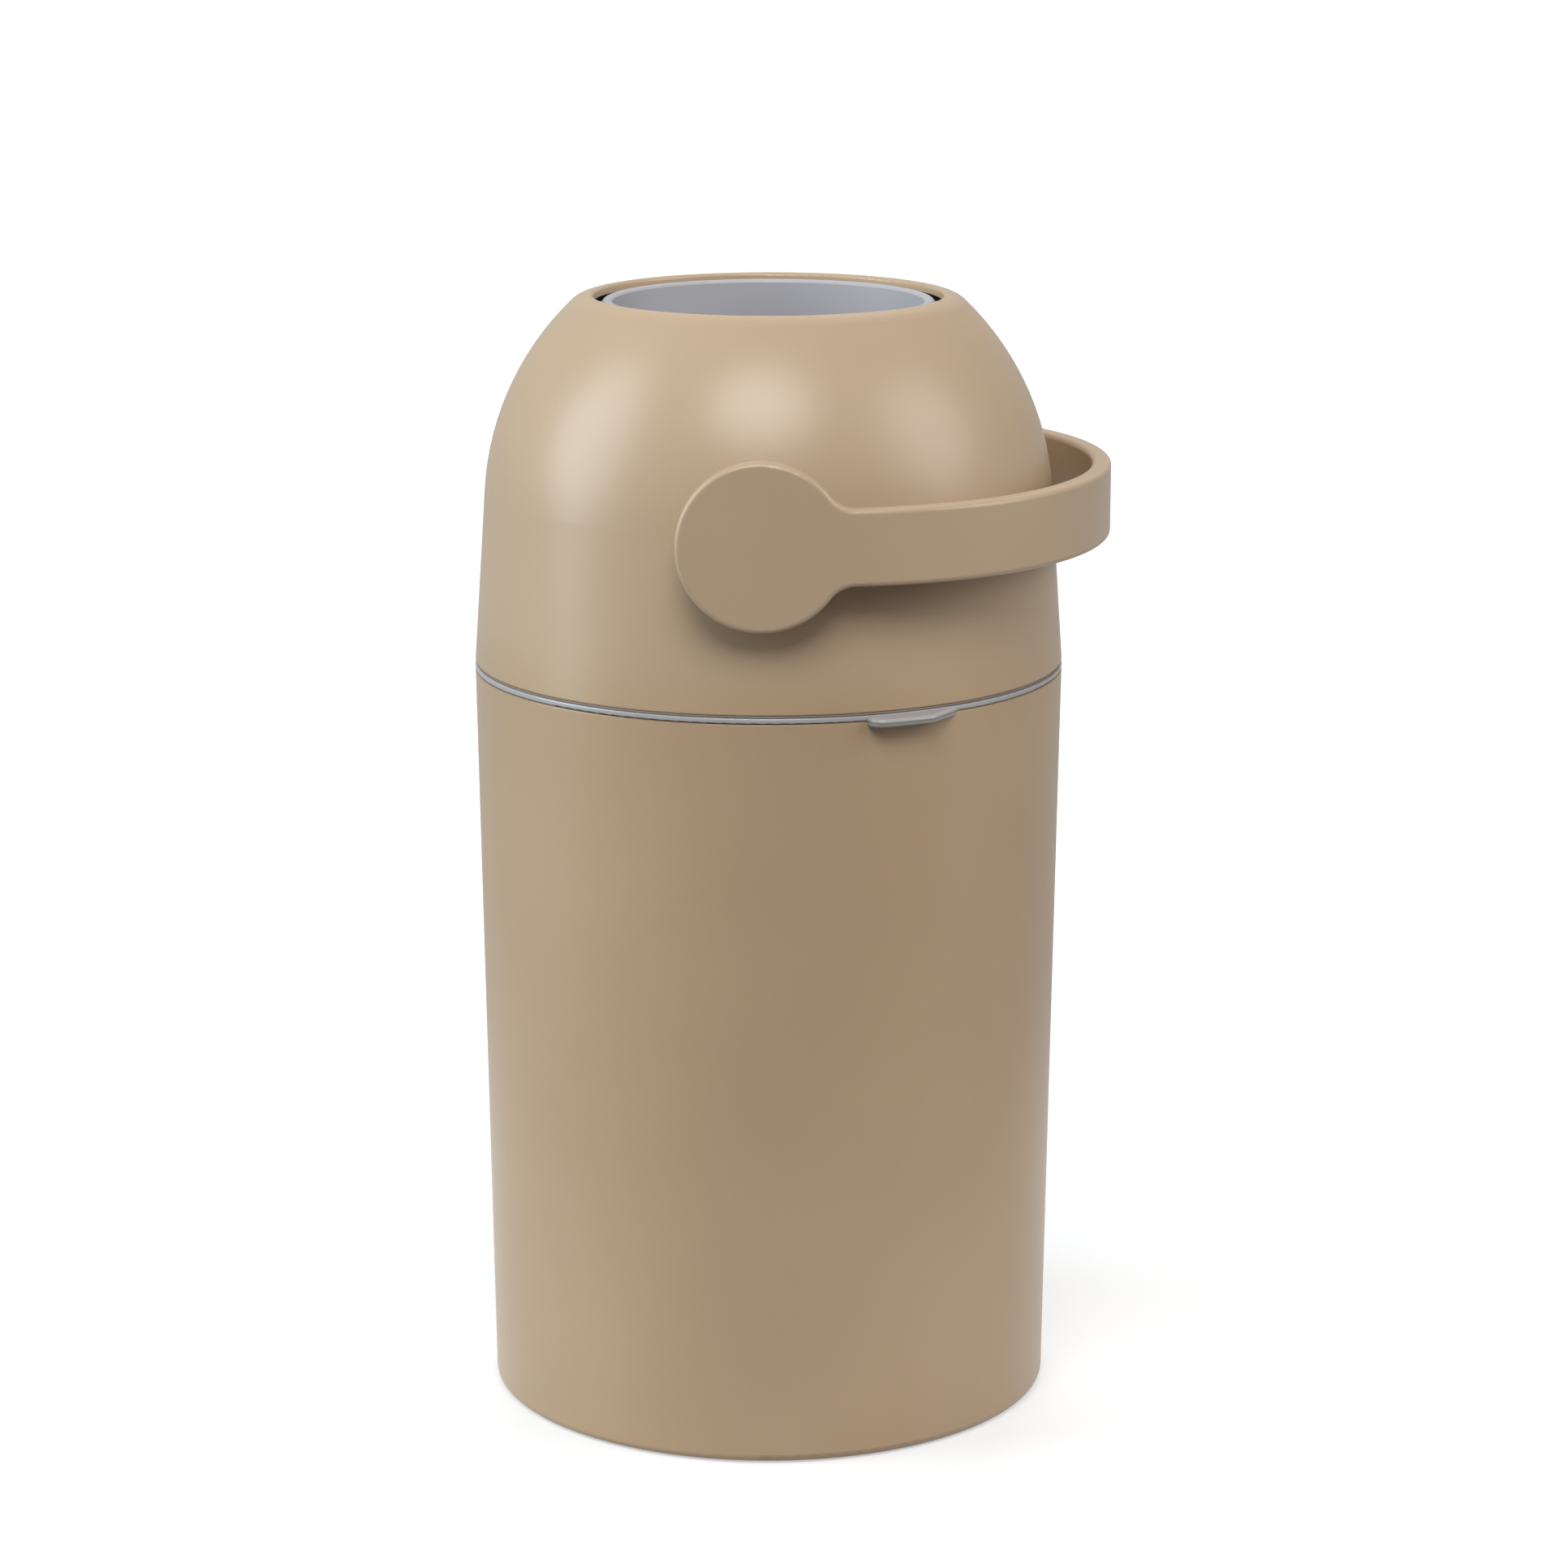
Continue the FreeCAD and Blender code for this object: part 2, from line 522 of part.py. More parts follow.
def make_head_rings():
    gasket = turned("head_gasket", [
        ("belt_radius - gasket_inset - gasket_width", "ring_top"),
        ("belt_radius - gasket_inset", "ring_top"),
        ("belt_radius - gasket_inset", "dome_low"),
        ("belt_radius - gasket_inset - gasket_width", "dome_low"),
    ])
    keep("head_gasket", gasket)
    low = turned("lower_seal", [
        ("seal_foot", "baffle_top"),
        ("seal_brow + seal_width", "baffle_top"),
        ("seal_brow + seal_width", "baffle_top + seal_height"),
        ("seal_brow", "baffle_top + seal_height", "seal_sphere", "left"),
    ])
    keep("lower_seal", low)
    inside = "(dome_radius - dome_wall)"
    top = turned("upper_seal", [
        ("upper_seal_inner", "pivot + sqrt(seal_sphere^2 - upper_seal_inner^2)", "seal_sphere", "left"),
        ("upper_seal_outer", "pivot + sqrt(seal_sphere^2 - upper_seal_outer^2)"),
        ("upper_seal_outer", f"dome_centre + sqrt({inside}^2 - upper_seal_outer^2)", inside, "right"),
        ("upper_seal_inner", f"dome_centre + sqrt({inside}^2 - upper_seal_inner^2)"),
    ])
    keep("upper_seal", top)


def make_baffle():
    plate = turned("baffle_turned", [
        ("seal_foot + seal_gap", "baffle_low"),
        ("spigot_inner", "baffle_low"),
        ("spigot_inner", "ring_top - spigot_depth"),
        ("spigot_outer", "ring_top - spigot_depth"),
        ("spigot_outer", "baffle_low"),
        ("baffle_radius", "baffle_low"),
        ("baffle_radius", "baffle_top"),
        ("seal_foot + seal_gap", "baffle_top"),
    ])
    holes = []
    screws = []
    for turn in POSTS:
        where = {"x": f"post_circle * cos({turn})", "y": f"post_circle * sin({turn})"}
        holes.append(cylinder(f"baffle_hole_{turn}", "screw_radius + screw_clearance", "baffle_thick",
                              z="baffle_low", **where))
        shank = cylinder(f"shank_{turn}", "screw_radius", "screw_length", z="baffle_low", **where)
        head = cylinder(f"head_{turn}", "screw_head", "screw_head_height",
                        z="baffle_low - screw_head_height", **where)
        screws.append(fuse(f"screw_{turn}", shank, head))
    keep("baffle_plate", cut("baffle_plate", plate, *holes))
    group = doc.addObject("Part::Compound", "baffle_screws")
    group.Links = screws
    keep("baffle_screws", group)


def make_bush(end, side):
    bore = "axle_radius + running_fit"
    body = turned(f"bush_{end}", [
        ("pad_inner", bore),
        ("pad_outer + bush_flange", bore),
        ("pad_outer + bush_flange", "bush_radius + flange_width"),
        ("pad_outer", "bush_radius + flange_width"),
        ("pad_outer", "bush_radius"),
        ("pad_inner", "bush_radius"),
    ], axis="H_Axis", plane="YZ_Plane")
    place(body, z="pivot", axis=(0, 0, 1), turn="0" if side > 0 else "180")
    keep(f"bush_{end}", body)


# Rotor: chute tube, lips, shells, axles and hub screws

def make_chute():
    tube = turned("chute_turned", [
        ("chute_bore", "-tube_end"),
        ("chute_outer", "-tube_end"),
        ("chute_outer", "tube_end"),
        ("chute_bore", "tube_end"),
    ])
    place(tube, z="pivot")
    bosses = []
    removed = [cylinder("chute_clear", "chute_bore", "2 * tube_end", z="pivot - tube_end")]
    for end, side in SIDES:
        bosses.append(cross_cylinder(f"boss_{end}", "boss_radius", "chute_bore", "boss_end", side=side))
        removed.append(cross_square(f"socket_{end}", "axle_square + 2 * key_play", "socket_start", "boss_end",
                                    side))
        removed.append(cross_cylinder(f"sink_{end}", "bolt_head + screw_clearance", "lip_inner", "bolt_seat",
                                      side=side))
        removed.append(cross_cylinder(f"bolt_hole_{end}", "bolt_radius + screw_clearance", "lip_inner",
                                      "boss_end", side=side))
    keep("chute_tube", cut("chute_tube", fuse("chute_solid", tube, *bosses), *removed))


def make_lip(end, turn):
    body = turned(f"chute_lip_{end}", [
        ("lip_inner", "tube_end"),
        ("chute_outer + lip_play", "tube_end"),
        ("chute_outer + lip_play", "tube_end - lip_lap"),
        ("lip_outer", "tube_end - lip_lap"),
        ("lip_outer", "lip_corner", "lip_round", "right"),
        ("lip_inner", "lip_corner"),
    ])
    place(body, z="pivot", axis=(0, 1, 0), turn=turn)
    keep(f"chute_lip_{end}", body)


def make_shell(end, turn):
    inside = "(rotor_radius - rotor_wall)"
    half = turned(f"shell_turned_{end}", [
        ("rotor_radius", "0", "rotor_radius", "right"),
        ("lip_outer", "lip_corner"),
        ("lip_outer", f"sqrt({inside}^2 - lip_outer^2)", inside, "left"),
        (inside, "0"),
    ])
    place(half, z="pivot", axis=(0, 1, 0), turn=turn)
    notches = [cross_cylinder(f"notch_{end}_{name}", "boss_radius + boss_play", "chute_outer", "pad_inner",
                              side=side) for name, side in SIDES]
    keep(f"rotor_shell_{end}", cut(f"rotor_shell_{end}", half, *notches))


def make_axle(end, side):
    journal = cross_cylinder(f"journal_{end}", "axle_radius", "boss_end", "hub_face", side=side)
    inner = cross_square(f"inner_key_{end}", "axle_square", "socket_start + key_play", "boss_end", side)
    outer = cross_square(f"outer_key_{end}", "axle_square", "hub_face", "hub_face + key_depth", side)
    hole = cross_cylinder(f"axle_hole_{end}", "bolt_radius + screw_clearance", "socket_start",
                          "hub_face + key_depth", side=side)
    keep(f"axle_{end}", cut(f"axle_{end}", fuse(f"axle_solid_{end}", journal, inner, outer), hole))


def make_hub_screws():
    screws = []
    for end, side in SIDES:
        shank = cross_cylinder(f"bolt_{end}", "bolt_radius", "bolt_seat", "strap_outer - face_wall", side=side)
        head = cross_cylinder(f"bolt_head_{end}", "bolt_head", "bolt_seat - bolt_head_height", "bolt_seat",
                              side=side)
        screws.append(fuse(f"hub_screw_{end}", shank, head))
    group = doc.addObject("Part::Compound", "hub_screws")
    group.Links = screws
    keep("hub_screws", group)


# Handle

def bow(name, inset):
    """The space inside one face of the strap, seen from above: a half ellipse on a straight run."""
    curve = doc.addObject("Part::Ellipse", name + "_curve")
    bind(curve, MajorRadius=f"strap_outer - ({inset})", MinorRadius=f"handle_reach - handle_straight - ({inset})")
    place(curve, x="handle_straight", z="pivot - 2 * disc_radius", axis=(0, 0, 1), turn="90")
    round_part = doc.addObject("Part::Extrusion", name + "_round")
    round_part.Base = curve
    round_part.DirMode = "Custom"
    round_part.Dir = FreeCAD.Vector(0, 0, 1)
    round_part.Solid = True
    bind(round_part, LengthFwd="4 * disc_radius")
    straight = box(name + "_straight", ("-2 * disc_radius", "handle_straight"),
                   (f"-(strap_outer - ({inset}))", f"strap_outer - ({inset})"),
                   ("pivot - 2 * disc_radius", "pivot + 2 * disc_radius"))
    return fuse(name, round_part, straight)


def make_handle():
    plan = cut("handle_plan", bow("handle_outside", "0"), bow("handle_inside", "strap_thick"))
    disc = cross_cylinder("handle_disc", "disc_radius", "-2 * strap_outer", "2 * strap_outer")
    strap = box("handle_strap", ("0", "2 * handle_reach"), ("-2 * strap_outer", "2 * strap_outer"),
                ("pivot - strap_width / 2", "pivot + strap_width / 2"))
    side_view = fuse("handle_side", disc, strap)
    corner = size("sqrt(disc_radius^2 - strap_width^2 / 4)")
    side_view = round_edges("handle_neck", side_view, "neck_round", lambda edge: (
        edge.BoundBox.YLength > size("strap_outer")
        and edge.BoundBox.XLength < 1e-3
        and abs(edge.BoundBox.XMin - corner) < 1e-3))
    hoop = common("handle_hoop", plan, side_view)
    pivot = size("pivot")

    def along_outline(edge):
        middle = edge.valueAt(sum(edge.ParameterRange) / 2)
        rim = abs(((middle.x**2 + (middle.z - pivot) ** 2) ** 0.5) - size("disc_radius")) < 1e-2
        side = abs(abs(middle.z - pivot) - size("strap_width / 2")) < 1e-3
        neck = size("strap_width / 2") < abs(middle.z - pivot) < size("disc_radius")
        across = edge.BoundBox.XLength + edge.BoundBox.ZLength < 1e-3
        lengthwise = edge.BoundBox.ZLength < 1e-3 or rim or neck
        return (rim or side or neck) and lengthwise and not across

    rounded = round_edges("handle_rounded", hoop, "handle_edge", along_outline)
    added = [rounded]
    removed = []
    for end, side in SIDES:
        added.append(cross_cylinder(f"hub_{end}", "hub_radius", "hub_face", "strap_inner + handle_edge",
                                    side=side))
        added.append(sector(f"lug_{end}", "hub_radius - key_play", "lug_radius",
                            "hub_face", "strap_inner + handle_edge", "lug_angle", "0", side))
        removed.append(cross_square(f"hub_socket_{end}", "axle_square + 2 * key_play", "hub_face",
                                    "hub_face + key_depth + key_play", side))
        removed.append(cross_cylinder(f"hub_hole_{end}", "bolt_radius", "hub_face", "strap_outer - face_wall",
                                      side=side))
    keep("handle", cut("handle", fuse("handle_solid", *added), *removed))


# Piston

def make_piston():
    groove_low = "(cup_height - wiper_height) / 2"
    cup = turned("piston_cup", [
        ("0", "-piston_low"),
        ("piston_radius", "-piston_low"),
        ("piston_radius", f"{groove_low} - piston_low"),
        ("piston_radius - wiper_depth", f"{groove_low} - piston_low"),
        ("piston_radius - wiper_depth", f"{groove_low} + wiper_height - piston_low"),
        ("piston_radius", f"{groove_low} + wiper_height - piston_low"),
        ("piston_radius", "cup_height - piston_low"),
        ("cup_bore", "cup_height - piston_low"),
        ("cup_bore", "piston_floor - piston_low"),
        ("0", "piston_floor - piston_low"),
    ])
    cover = turned("piston_cover", [
        ("0", "cup_height - piston_cover - piston_low"),
        ("cup_bore - key_play", "cup_height - piston_cover - piston_low"),
        ("cup_bore - key_play", "cup_height - piston_low"),
        ("piston_radius", "cup_height - piston_low"),
        ("piston_radius", "piston_height - piston_low"),
        ("0", "piston_height - piston_low"),
    ])
    weight = turned("piston_weight", [
        ("0", "piston_floor - piston_low"),
        ("cup_bore - weight_play", "piston_floor - piston_low"),
        ("cup_bore - weight_play", "piston_floor + weight_thick - piston_low"),
        ("0", "piston_floor + weight_thick - piston_low"),
    ])
    wiper = turned("piston_wiper", [
        ("piston_radius - wiper_depth", f"{groove_low} - piston_low"),
        ("chute_bore - wiper_gap", f"{groove_low} - piston_low"),
        ("chute_bore - wiper_gap", f"{groove_low} + wiper_height - piston_low"),
        ("piston_radius - wiper_depth", f"{groove_low} + wiper_height - piston_low"),
    ])
    for body in (cup, cover, weight, wiper):
        place(body, z="pivot")
        keep(body.Name, body)


make_bin()
make_bag_ring()
make_dome()
make_head_rings()
make_baffle()
make_chute()
make_lip("top", "0")
make_lip("bottom", "180")
make_shell("upper", "0")
make_shell("lower", "180")
for end, side in SIDES:
    make_bush(end, side)
    make_axle(end, side)
make_hub_screws()
make_handle()
make_piston()
doc.recompute()

for item in doc.Objects:
    if {"Invalid", "Error"} & set(item.State):
        raise RuntimeError(f"{item.Label} did not rebuild: {item.State}")
for label, item in nodes.items():
    if item.Shape.isNull() or not item.Shape.isValid():
        raise RuntimeError(f"{label} has no valid shape")

os.makedirs("parts", exist_ok=True)
for label, item in nodes.items():
    item.Shape.exportStep(f"parts/{label}.step")
    print(f"{label}: {len(item.Shape.Solids)} solid, {item.Shape.Volume / 1000:.1f} cm3")
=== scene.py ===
import json
import math

import bmesh
import bpy
import numpy as np
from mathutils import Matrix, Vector


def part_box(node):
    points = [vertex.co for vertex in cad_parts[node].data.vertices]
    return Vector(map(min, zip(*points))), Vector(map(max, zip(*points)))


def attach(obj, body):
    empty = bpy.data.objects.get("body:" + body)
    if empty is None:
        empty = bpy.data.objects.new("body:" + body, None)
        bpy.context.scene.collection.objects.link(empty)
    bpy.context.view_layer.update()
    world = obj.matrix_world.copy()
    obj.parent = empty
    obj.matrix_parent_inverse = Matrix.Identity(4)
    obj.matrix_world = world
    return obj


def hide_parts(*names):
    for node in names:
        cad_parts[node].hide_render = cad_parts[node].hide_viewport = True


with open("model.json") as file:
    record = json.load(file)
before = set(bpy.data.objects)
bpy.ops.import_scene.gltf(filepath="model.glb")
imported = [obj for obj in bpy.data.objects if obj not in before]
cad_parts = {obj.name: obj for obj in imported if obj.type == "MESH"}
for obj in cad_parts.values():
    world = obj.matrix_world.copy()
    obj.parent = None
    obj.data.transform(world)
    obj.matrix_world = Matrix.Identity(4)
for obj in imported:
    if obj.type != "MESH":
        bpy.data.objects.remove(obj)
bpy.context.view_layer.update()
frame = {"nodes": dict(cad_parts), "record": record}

MM = 0.001

# Sizes that the solids' boxes don't give, in metres; an edge is the radius that rounds a corner
FOOT_WIDTH = 8.0 * MM
FOOT_GROOVE = 1.1 * MM
FOOT_TOP_EDGE = 0.4 * MM
FOOT_LOW_EDGE = 1.0 * MM
GROOVE_EDGE = 0.3 * MM
GASKET_WIDTH = 4.0 * MM
GASKET_BULGE = 0.9 * MM
GASKET_EDGE = 0.5 * MM
RING_BAND = 2.6 * MM
# Painted shade at the joint of the bin's rim and the bag ring: full within the core's height, gone at the
# reach, gone deeper in than the first depth, full from the second
SEAM_CORE = 0.1 * MM
SEAM_REACH = 0.9 * MM
SEAM_UNSHADED_DEPTH = 4.0 * MM
SEAM_FULL_DEPTH = 3.0 * MM
SEAL_REACH = 0.25 * MM
SEAL_WIDTH = 6.0 * MM
SEAL_GROOVE = 0.9 * MM
SEAL_GROOVE_EDGE = 0.3 * MM
SEAL_BACK_EDGE = 0.5 * MM
SEAL_FOOT_HEIGHT = 2.4 * MM
SEAL_FOOT_WIDTH = 2.6 * MM
SEAL_FOOT_GAP = 0.8 * MM
SEAL_FOOT_EDGE = 0.6 * MM
SEAL_HOLLOW_EDGE = 0.8 * MM
SEAL_LIP_WIDTH = 1.7 * MM
SEAL_LIP_EDGE = 0.4 * MM
WIPER_SEAT = 1.45 * MM
WIPER_SEAT_EDGE = 0.2 * MM
WIPER_LIP_EDGE = 0.35 * MM
WIPER_SLOPE_EDGE = 0.5 * MM
WIPER_VALLEY = 0.9 * MM
WIPER_VALLEY_EDGE = 0.6 * MM
BAFFLE_HEAD = 3.4 * MM
BAFFLE_HEAD_HEIGHT = 2.2 * MM
BAFFLE_SHANK = 1.75 * MM
HUB_HEAD = 4.75 * MM
HUB_HEAD_HEIGHT = 2.8 * MM
HUB_SHANK = 2.5 * MM
HUB_SEAT = 75.2 * MM

# Points of the upper seal's face: shares of its width, and of its groove's depth
SEAL_FACE = ((0, 0), (0.22, 0), (0.34, 1), (0.66, 1), (0.78, 0), (1, 0))
# Shares of the wiper's height: the low lip's end, the valley's start and end, the high lip's start
WIPER_SHARES = (0.26, 0.42, 0.58, 0.74)

# Shares of a screw's head: of its height, then of its radius, and last a share of the shank's radius
CROWN_FALL = 0.22
RIM_EDGE_HEIGHT = 0.05
RECESS_DEPTH = 0.62
RIM_EDGE_RADIUS = 0.97
RECESS_ARM = 0.58
RECESS_HALF_WIDTH = 0.13
RECESS_WALL = 0.05
SHANK_TIP = 0.3
# How the crown's fall grows with the share of its radius
CROWN_POWER = 2.5

# Points round a turned piece, and the distance within which points merge
AROUND = 192
MERGE = 1e-6


# Surfaces

def rounded(corners, steps=5):
    """A closed outline of (across, up, radius) corners, each made an arc that touches both its sides.

    The arc's centre lies on the corner's bisector, radius / sin(half angle) from the corner.
    """
    outline = []
    points = np.array([corner[:2] for corner in corners], float)
    for index, corner in enumerate(corners):
        here, radius = points[index], corner[2]
        before = points[index - 1] - here
        after = points[(index + 1) % len(points)] - here
        before /= np.linalg.norm(before)
        after /= np.linalg.norm(after)
        half = math.acos(np.clip(before @ after, -1, 1)) / 2
        bisector = (before + after) / np.linalg.norm(before + after)
        centre = here + bisector * radius / math.sin(half)
        start = before * radius / math.tan(half) + here - centre
        sweep = (math.pi - 2 * half) * math.copysign(1, before[1] * after[0] - before[0] * after[1])
        turn = np.linspace(0, sweep, steps + 1)
        outline.append(centre + np.stack([
            start[0] * np.cos(turn) - start[1] * np.sin(turn),
            start[0] * np.sin(turn) + start[1] * np.cos(turn)], axis=1))
    return np.concatenate(outline)


def lathe(outline, around=AROUND):
    """An outline of (radius, height) carried round the upright axis: (r cos a, r sin a, h)."""
    angle = np.linspace(0, 2 * math.pi, around, endpoint=False)
    radius, height = outline[:, :1], outline[:, 1:]
    return np.stack([radius * np.cos(angle), radius * np.sin(angle), height + 0 * angle], axis=-1)


def quads(rows, columns, close_rows):
    """The corner numbers of a grid's faces, each between two rows and two columns side by side.

    Columns always close on themselves, rows where asked.
    """
    row = np.arange(rows if close_rows else rows - 1)[:, None]
    column = np.arange(columns)[None]
    next_row, next_column = (row + 1) % rows, (column + 1) % columns
    corners = [row * columns + column, row * columns + next_column,
               next_row * columns + next_column, next_row * columns + column]
    return np.stack(corners, axis=-1).reshape(-1, 4)


def piece(name, grids, slot, body, *nodes, close_rows=True, sharp=40):
    """One mesh from grids of points: doubles merged, normals outwards, smooth but for sharp edges."""
    mesh = bpy.data.meshes.new(name)
    corners, faces, count = [], [], 0
    for grid in grids:
        corners.append(grid.reshape(-1, 3))
        faces.append(quads(grid.shape[0], grid.shape[1], close_rows) + count)
        count += len(corners[-1])
    mesh.from_pydata(np.concatenate(corners), [], np.concatenate(faces))
    work = bmesh.new()
    work.from_mesh(mesh)
    bmesh.ops.remove_doubles(work, verts=work.verts, dist=MERGE)
    bmesh.ops.recalc_face_normals(work, faces=work.faces)
    work.to_mesh(mesh)
    work.free()
    mesh.shade_smooth()
    mesh.set_sharp_from_angle(angle=math.radians(sharp))
    made = bpy.data.objects.new(name, mesh)
    bpy.context.scene.collection.objects.link(made)
    made.data.materials.append(FINISHES[slot])
    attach(made, body)
    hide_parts(*nodes)
    return made


def screw(head, head_height, shank, length, rows=40, around=64):
    """A pan-head screw along +Z, its head's underside at 0 and its shank upwards, with a cross recess.

    The crown falls from its middle to its rim by a share of the head's height, times a power of the
    share of the radius. The recess is sunk where a point lies in one of two crossed bars.
    """
    run = np.linspace(0, 1, rows)
    crown = np.stack([head * run, -head_height * (1 - CROWN_FALL * run ** CROWN_POWER)], axis=1)
    rim = [(head, -head_height * (1 - CROWN_FALL)), (head, -RIM_EDGE_HEIGHT * head_height),
           (head * RIM_EDGE_RADIUS, 0)]
    grip = [(shank, 0), (shank, length - shank), (shank * SHANK_TIP, length), (0, length)]
    points = lathe(np.concatenate([crown, rim, grip]), around)
    x, y = np.abs(points[..., 0]), np.abs(points[..., 1])
    arm, half_width, wall = RECESS_ARM * head, RECESS_HALF_WIDTH * head, RECESS_WALL * head

    def bar(along, across):
        """0 at a bar's end and side, rising to 1 over the wall's width inside them."""
        return np.clip((arm - along) / wall, 0, 1) * np.clip((half_width - across) / wall, 0, 1)

    recess = np.maximum(bar(x, y), bar(y, x))
    recess[rows:] = 0
    points[..., 2] += RECESS_DEPTH * head_height * recess
    return points


# Shader nodes

X, Y, Z = range(3)


class Link:
    """One output of a node in a node tree. Operators on values add Math nodes beside it."""

    def __init__(self, tree, output):
        self.tree = tree
        self.output = output

    def node(self, kind, settings, inputs, output=0):
        """Add a node: its settings first, then the values or links of its sockets."""
        made = self.tree.nodes.new(kind)
        for name, value in settings.items():
            setattr(made, name, value)
        for name, value in inputs.items():
            if isinstance(value, Link):
                self.tree.links.new(value.output, made.inputs[name])
            else:
                made.inputs[name].default_value = value
        return Link(self.tree, made.outputs[output])

    def math(self, operation, *values):
        """A Math node on values, each a link or a number."""
        return self.node("ShaderNodeMath", {"operation": operation}, dict(enumerate(values)))

    def __add__(self, other):
        return self.math("ADD", self, other)

    __radd__ = __add__

    def __sub__(self, other):
        return self.math("SUBTRACT", self, other)

    def __rsub__(self, other):
        return self.math("SUBTRACT", other, self)

    def __mul__(self, other):
        return self.math("MULTIPLY", self, other)

    __rmul__ = __mul__

    def component(self, axis):
        """This vector's share along X, Y or Z."""
        return self.node("ShaderNodeSeparateXYZ", {}, {0: self}, output=axis)

    def length(self):
        """This vector's length."""
        return self.node("ShaderNodeVectorMath", {"operation": "LENGTH"}, {0: self}, output=1)

    def noise(self, scale, detail=2.0, rough=0.5):
        """Noise on this vector, about 0.5 on average."""
        return self.node("ShaderNodeTexNoise", {}, {
            "Vector": self, "Scale": scale, "Detail": detail, "Roughness": rough})

    def stretched(self, scale):
        """This vector with each axis scaled."""
        return self.node("ShaderNodeMapping", {}, {"Vector": self, "Scale": scale})

    def between(self, low, high):
        """This value as a share of the way from low to high, eased at both ends."""
        return self.node("ShaderNodeMapRange", {"interpolation_type": "SMOOTHSTEP"}, {
            "Value": self, "From Min": low, "From Max": high})

    def mixed(self, first, second):
        """A colour that goes from the first to the second as this value goes from 0 to 1."""
        return self.node("ShaderNodeMix", {"data_type": "RGBA"}, {0: self, 6: first, 7: second}, output=2)


# Materials

PLASTIC_IOR = 1.45
# Heights between which the tan goes from the bin's tone to the head's
HEAD_TAN = (0.338, 0.376)
# Heights between which the grey goes from the bag ring's tone to the chute's
CHUTE_GREY = (0.355, 0.375)


def shade(red, green, blue):
    """A colour from 8-bit display values, as linear light by the sRGB curve."""
    display = np.array([red, green, blue]) / 255
    linear = np.where(display <= 0.04045, display / 12.92, ((display + 0.055) / 1.055) ** 2.4)
    return (*linear, 1.0)


def blank(name):
    """A new material with its shader, and the Object coordinates of what wears it."""
    material = bpy.data.materials.new(name)
    material.use_nodes = True
    tree = material.node_tree
    shader = tree.nodes["Principled BSDF"]
    shader.inputs["IOR"].default_value = PLASTIC_IOR
    place = Link(tree, tree.nodes.new("ShaderNodeTexCoord").outputs["Object"])
    return material, shader, place


def wear(place, shader, colour, rough, height):
    """Feed colour, roughness and a bump height in metres to the shader."""
    tree = place.tree
    bump = place.node("ShaderNodeBump", {}, {"Height": height, "Distance": 1.0, "Strength": 1.0})
    tree.links.new(colour.output, shader.inputs["Base Color"])
    tree.links.new(rough.output, shader.inputs["Roughness"])
    tree.links.new(bump.output, shader.inputs["Normal"])


def seam_painted_shade(place):
    """A mask of painted shade: 1 at the joint between the bin's rim and the bag ring, fading to 0 a
    little above and below it.

    It also fades to 0 inwards, by the distance from the upright axis.
    """
    out = place.stretched((1, 1, 0)).length()
    gap = place.component(Z) - (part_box("bag_ring")[1].z - RING_BAND)
    near = 1 - gap.math("ABSOLUTE", gap).between(SEAM_CORE, SEAM_REACH)
    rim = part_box("bin_body")[1].x
    return near * out.between(rim - SEAM_UNSHADED_DEPTH, rim - SEAM_FULL_DEPTH)


def tan_plastic():
    """Satin moulded plastic: a fine spark-eroded grain over a faint waviness, and a slow drift of tone.

    Head and handle are a little lighter than the bin, and the joint at its rim is darkened as painted
    shade.
    """
    material, shader, place = blank("tan_plastic")
    drift = place.noise(7.0, 2.0)
    grain = place.noise(1700.0, 2.0, 0.6)
    wave = place.noise(70.0, 1.0)
    shift = (drift * 0.8 + grain * 0.2).between(0.3, 0.7)
    low = shift.mixed(shade(166, 141, 112), shade(172, 147, 118))
    high = shift.mixed(shade(172, 149, 122), shade(178, 155, 128))
    unshaded = place.component(Z).between(*HEAD_TAN).mixed(low, high)
    # Painted shade: the tan darkens to this colour at the joint between the bin's rim and the bag ring
    colour = seam_painted_shade(place).mixed(unshaded, shade(130, 111, 89))
    rough = 0.26 + 0.08 * drift + 0.06 * grain
    height = grain * 5e-6 + wave * 3e-5
    wear(place, shader, colour, rough, height)
    return material


def grey_plastic():
    """Glossy moulded plastic, with a faint waviness and fine dust-dull patches.

    The bag ring is a little darker and warmer than the chute, and the joint at the bin's rim is
    darkened as painted shade.
    """
    material, shader, place = blank("grey_plastic")
    drift = place.noise(11.0, 3.0)
    haze = place.noise(240.0, 3.0, 0.6)
    wave = place.noise(90.0, 1.0)
    shift = drift.between(0.3, 0.7)
    ring = shift.mixed(shade(155, 153, 152), shade(161, 159, 158))
    chute = shift.mixed(shade(163, 162, 166), shade(169, 168, 172))
    unshaded = place.component(Z).between(*CHUTE_GREY).mixed(ring, chute)
    # Painted shade: the grey darkens to this colour at the joint between the bin's rim and the bag ring
    colour = seam_painted_shade(place).mixed(unshaded, shade(124, 119, 112))
    rough = 0.17 + 0.08 * drift + 0.07 * haze
    height = wave * 2.5e-5 + haze * 1.5e-6
    wear(place, shader, colour, rough, height)
    return material


def bearing_plastic():
    """Plain off-white bearing plastic with fine turning marks round the pivot."""
    material, shader, place = blank("bearing_plastic")
    drift = place.noise(40.0, 3.0)
    marks = place.stretched((60.0, 4200.0, 60.0)).noise(1.0, 2.0)
    colour = drift.between(0.3, 0.7).mixed(shade(226, 225, 218), shade(234, 233, 228))
    wear(place, shader, colour, 0.34 + 0.12 * marks, marks * 4e-6)
    return material


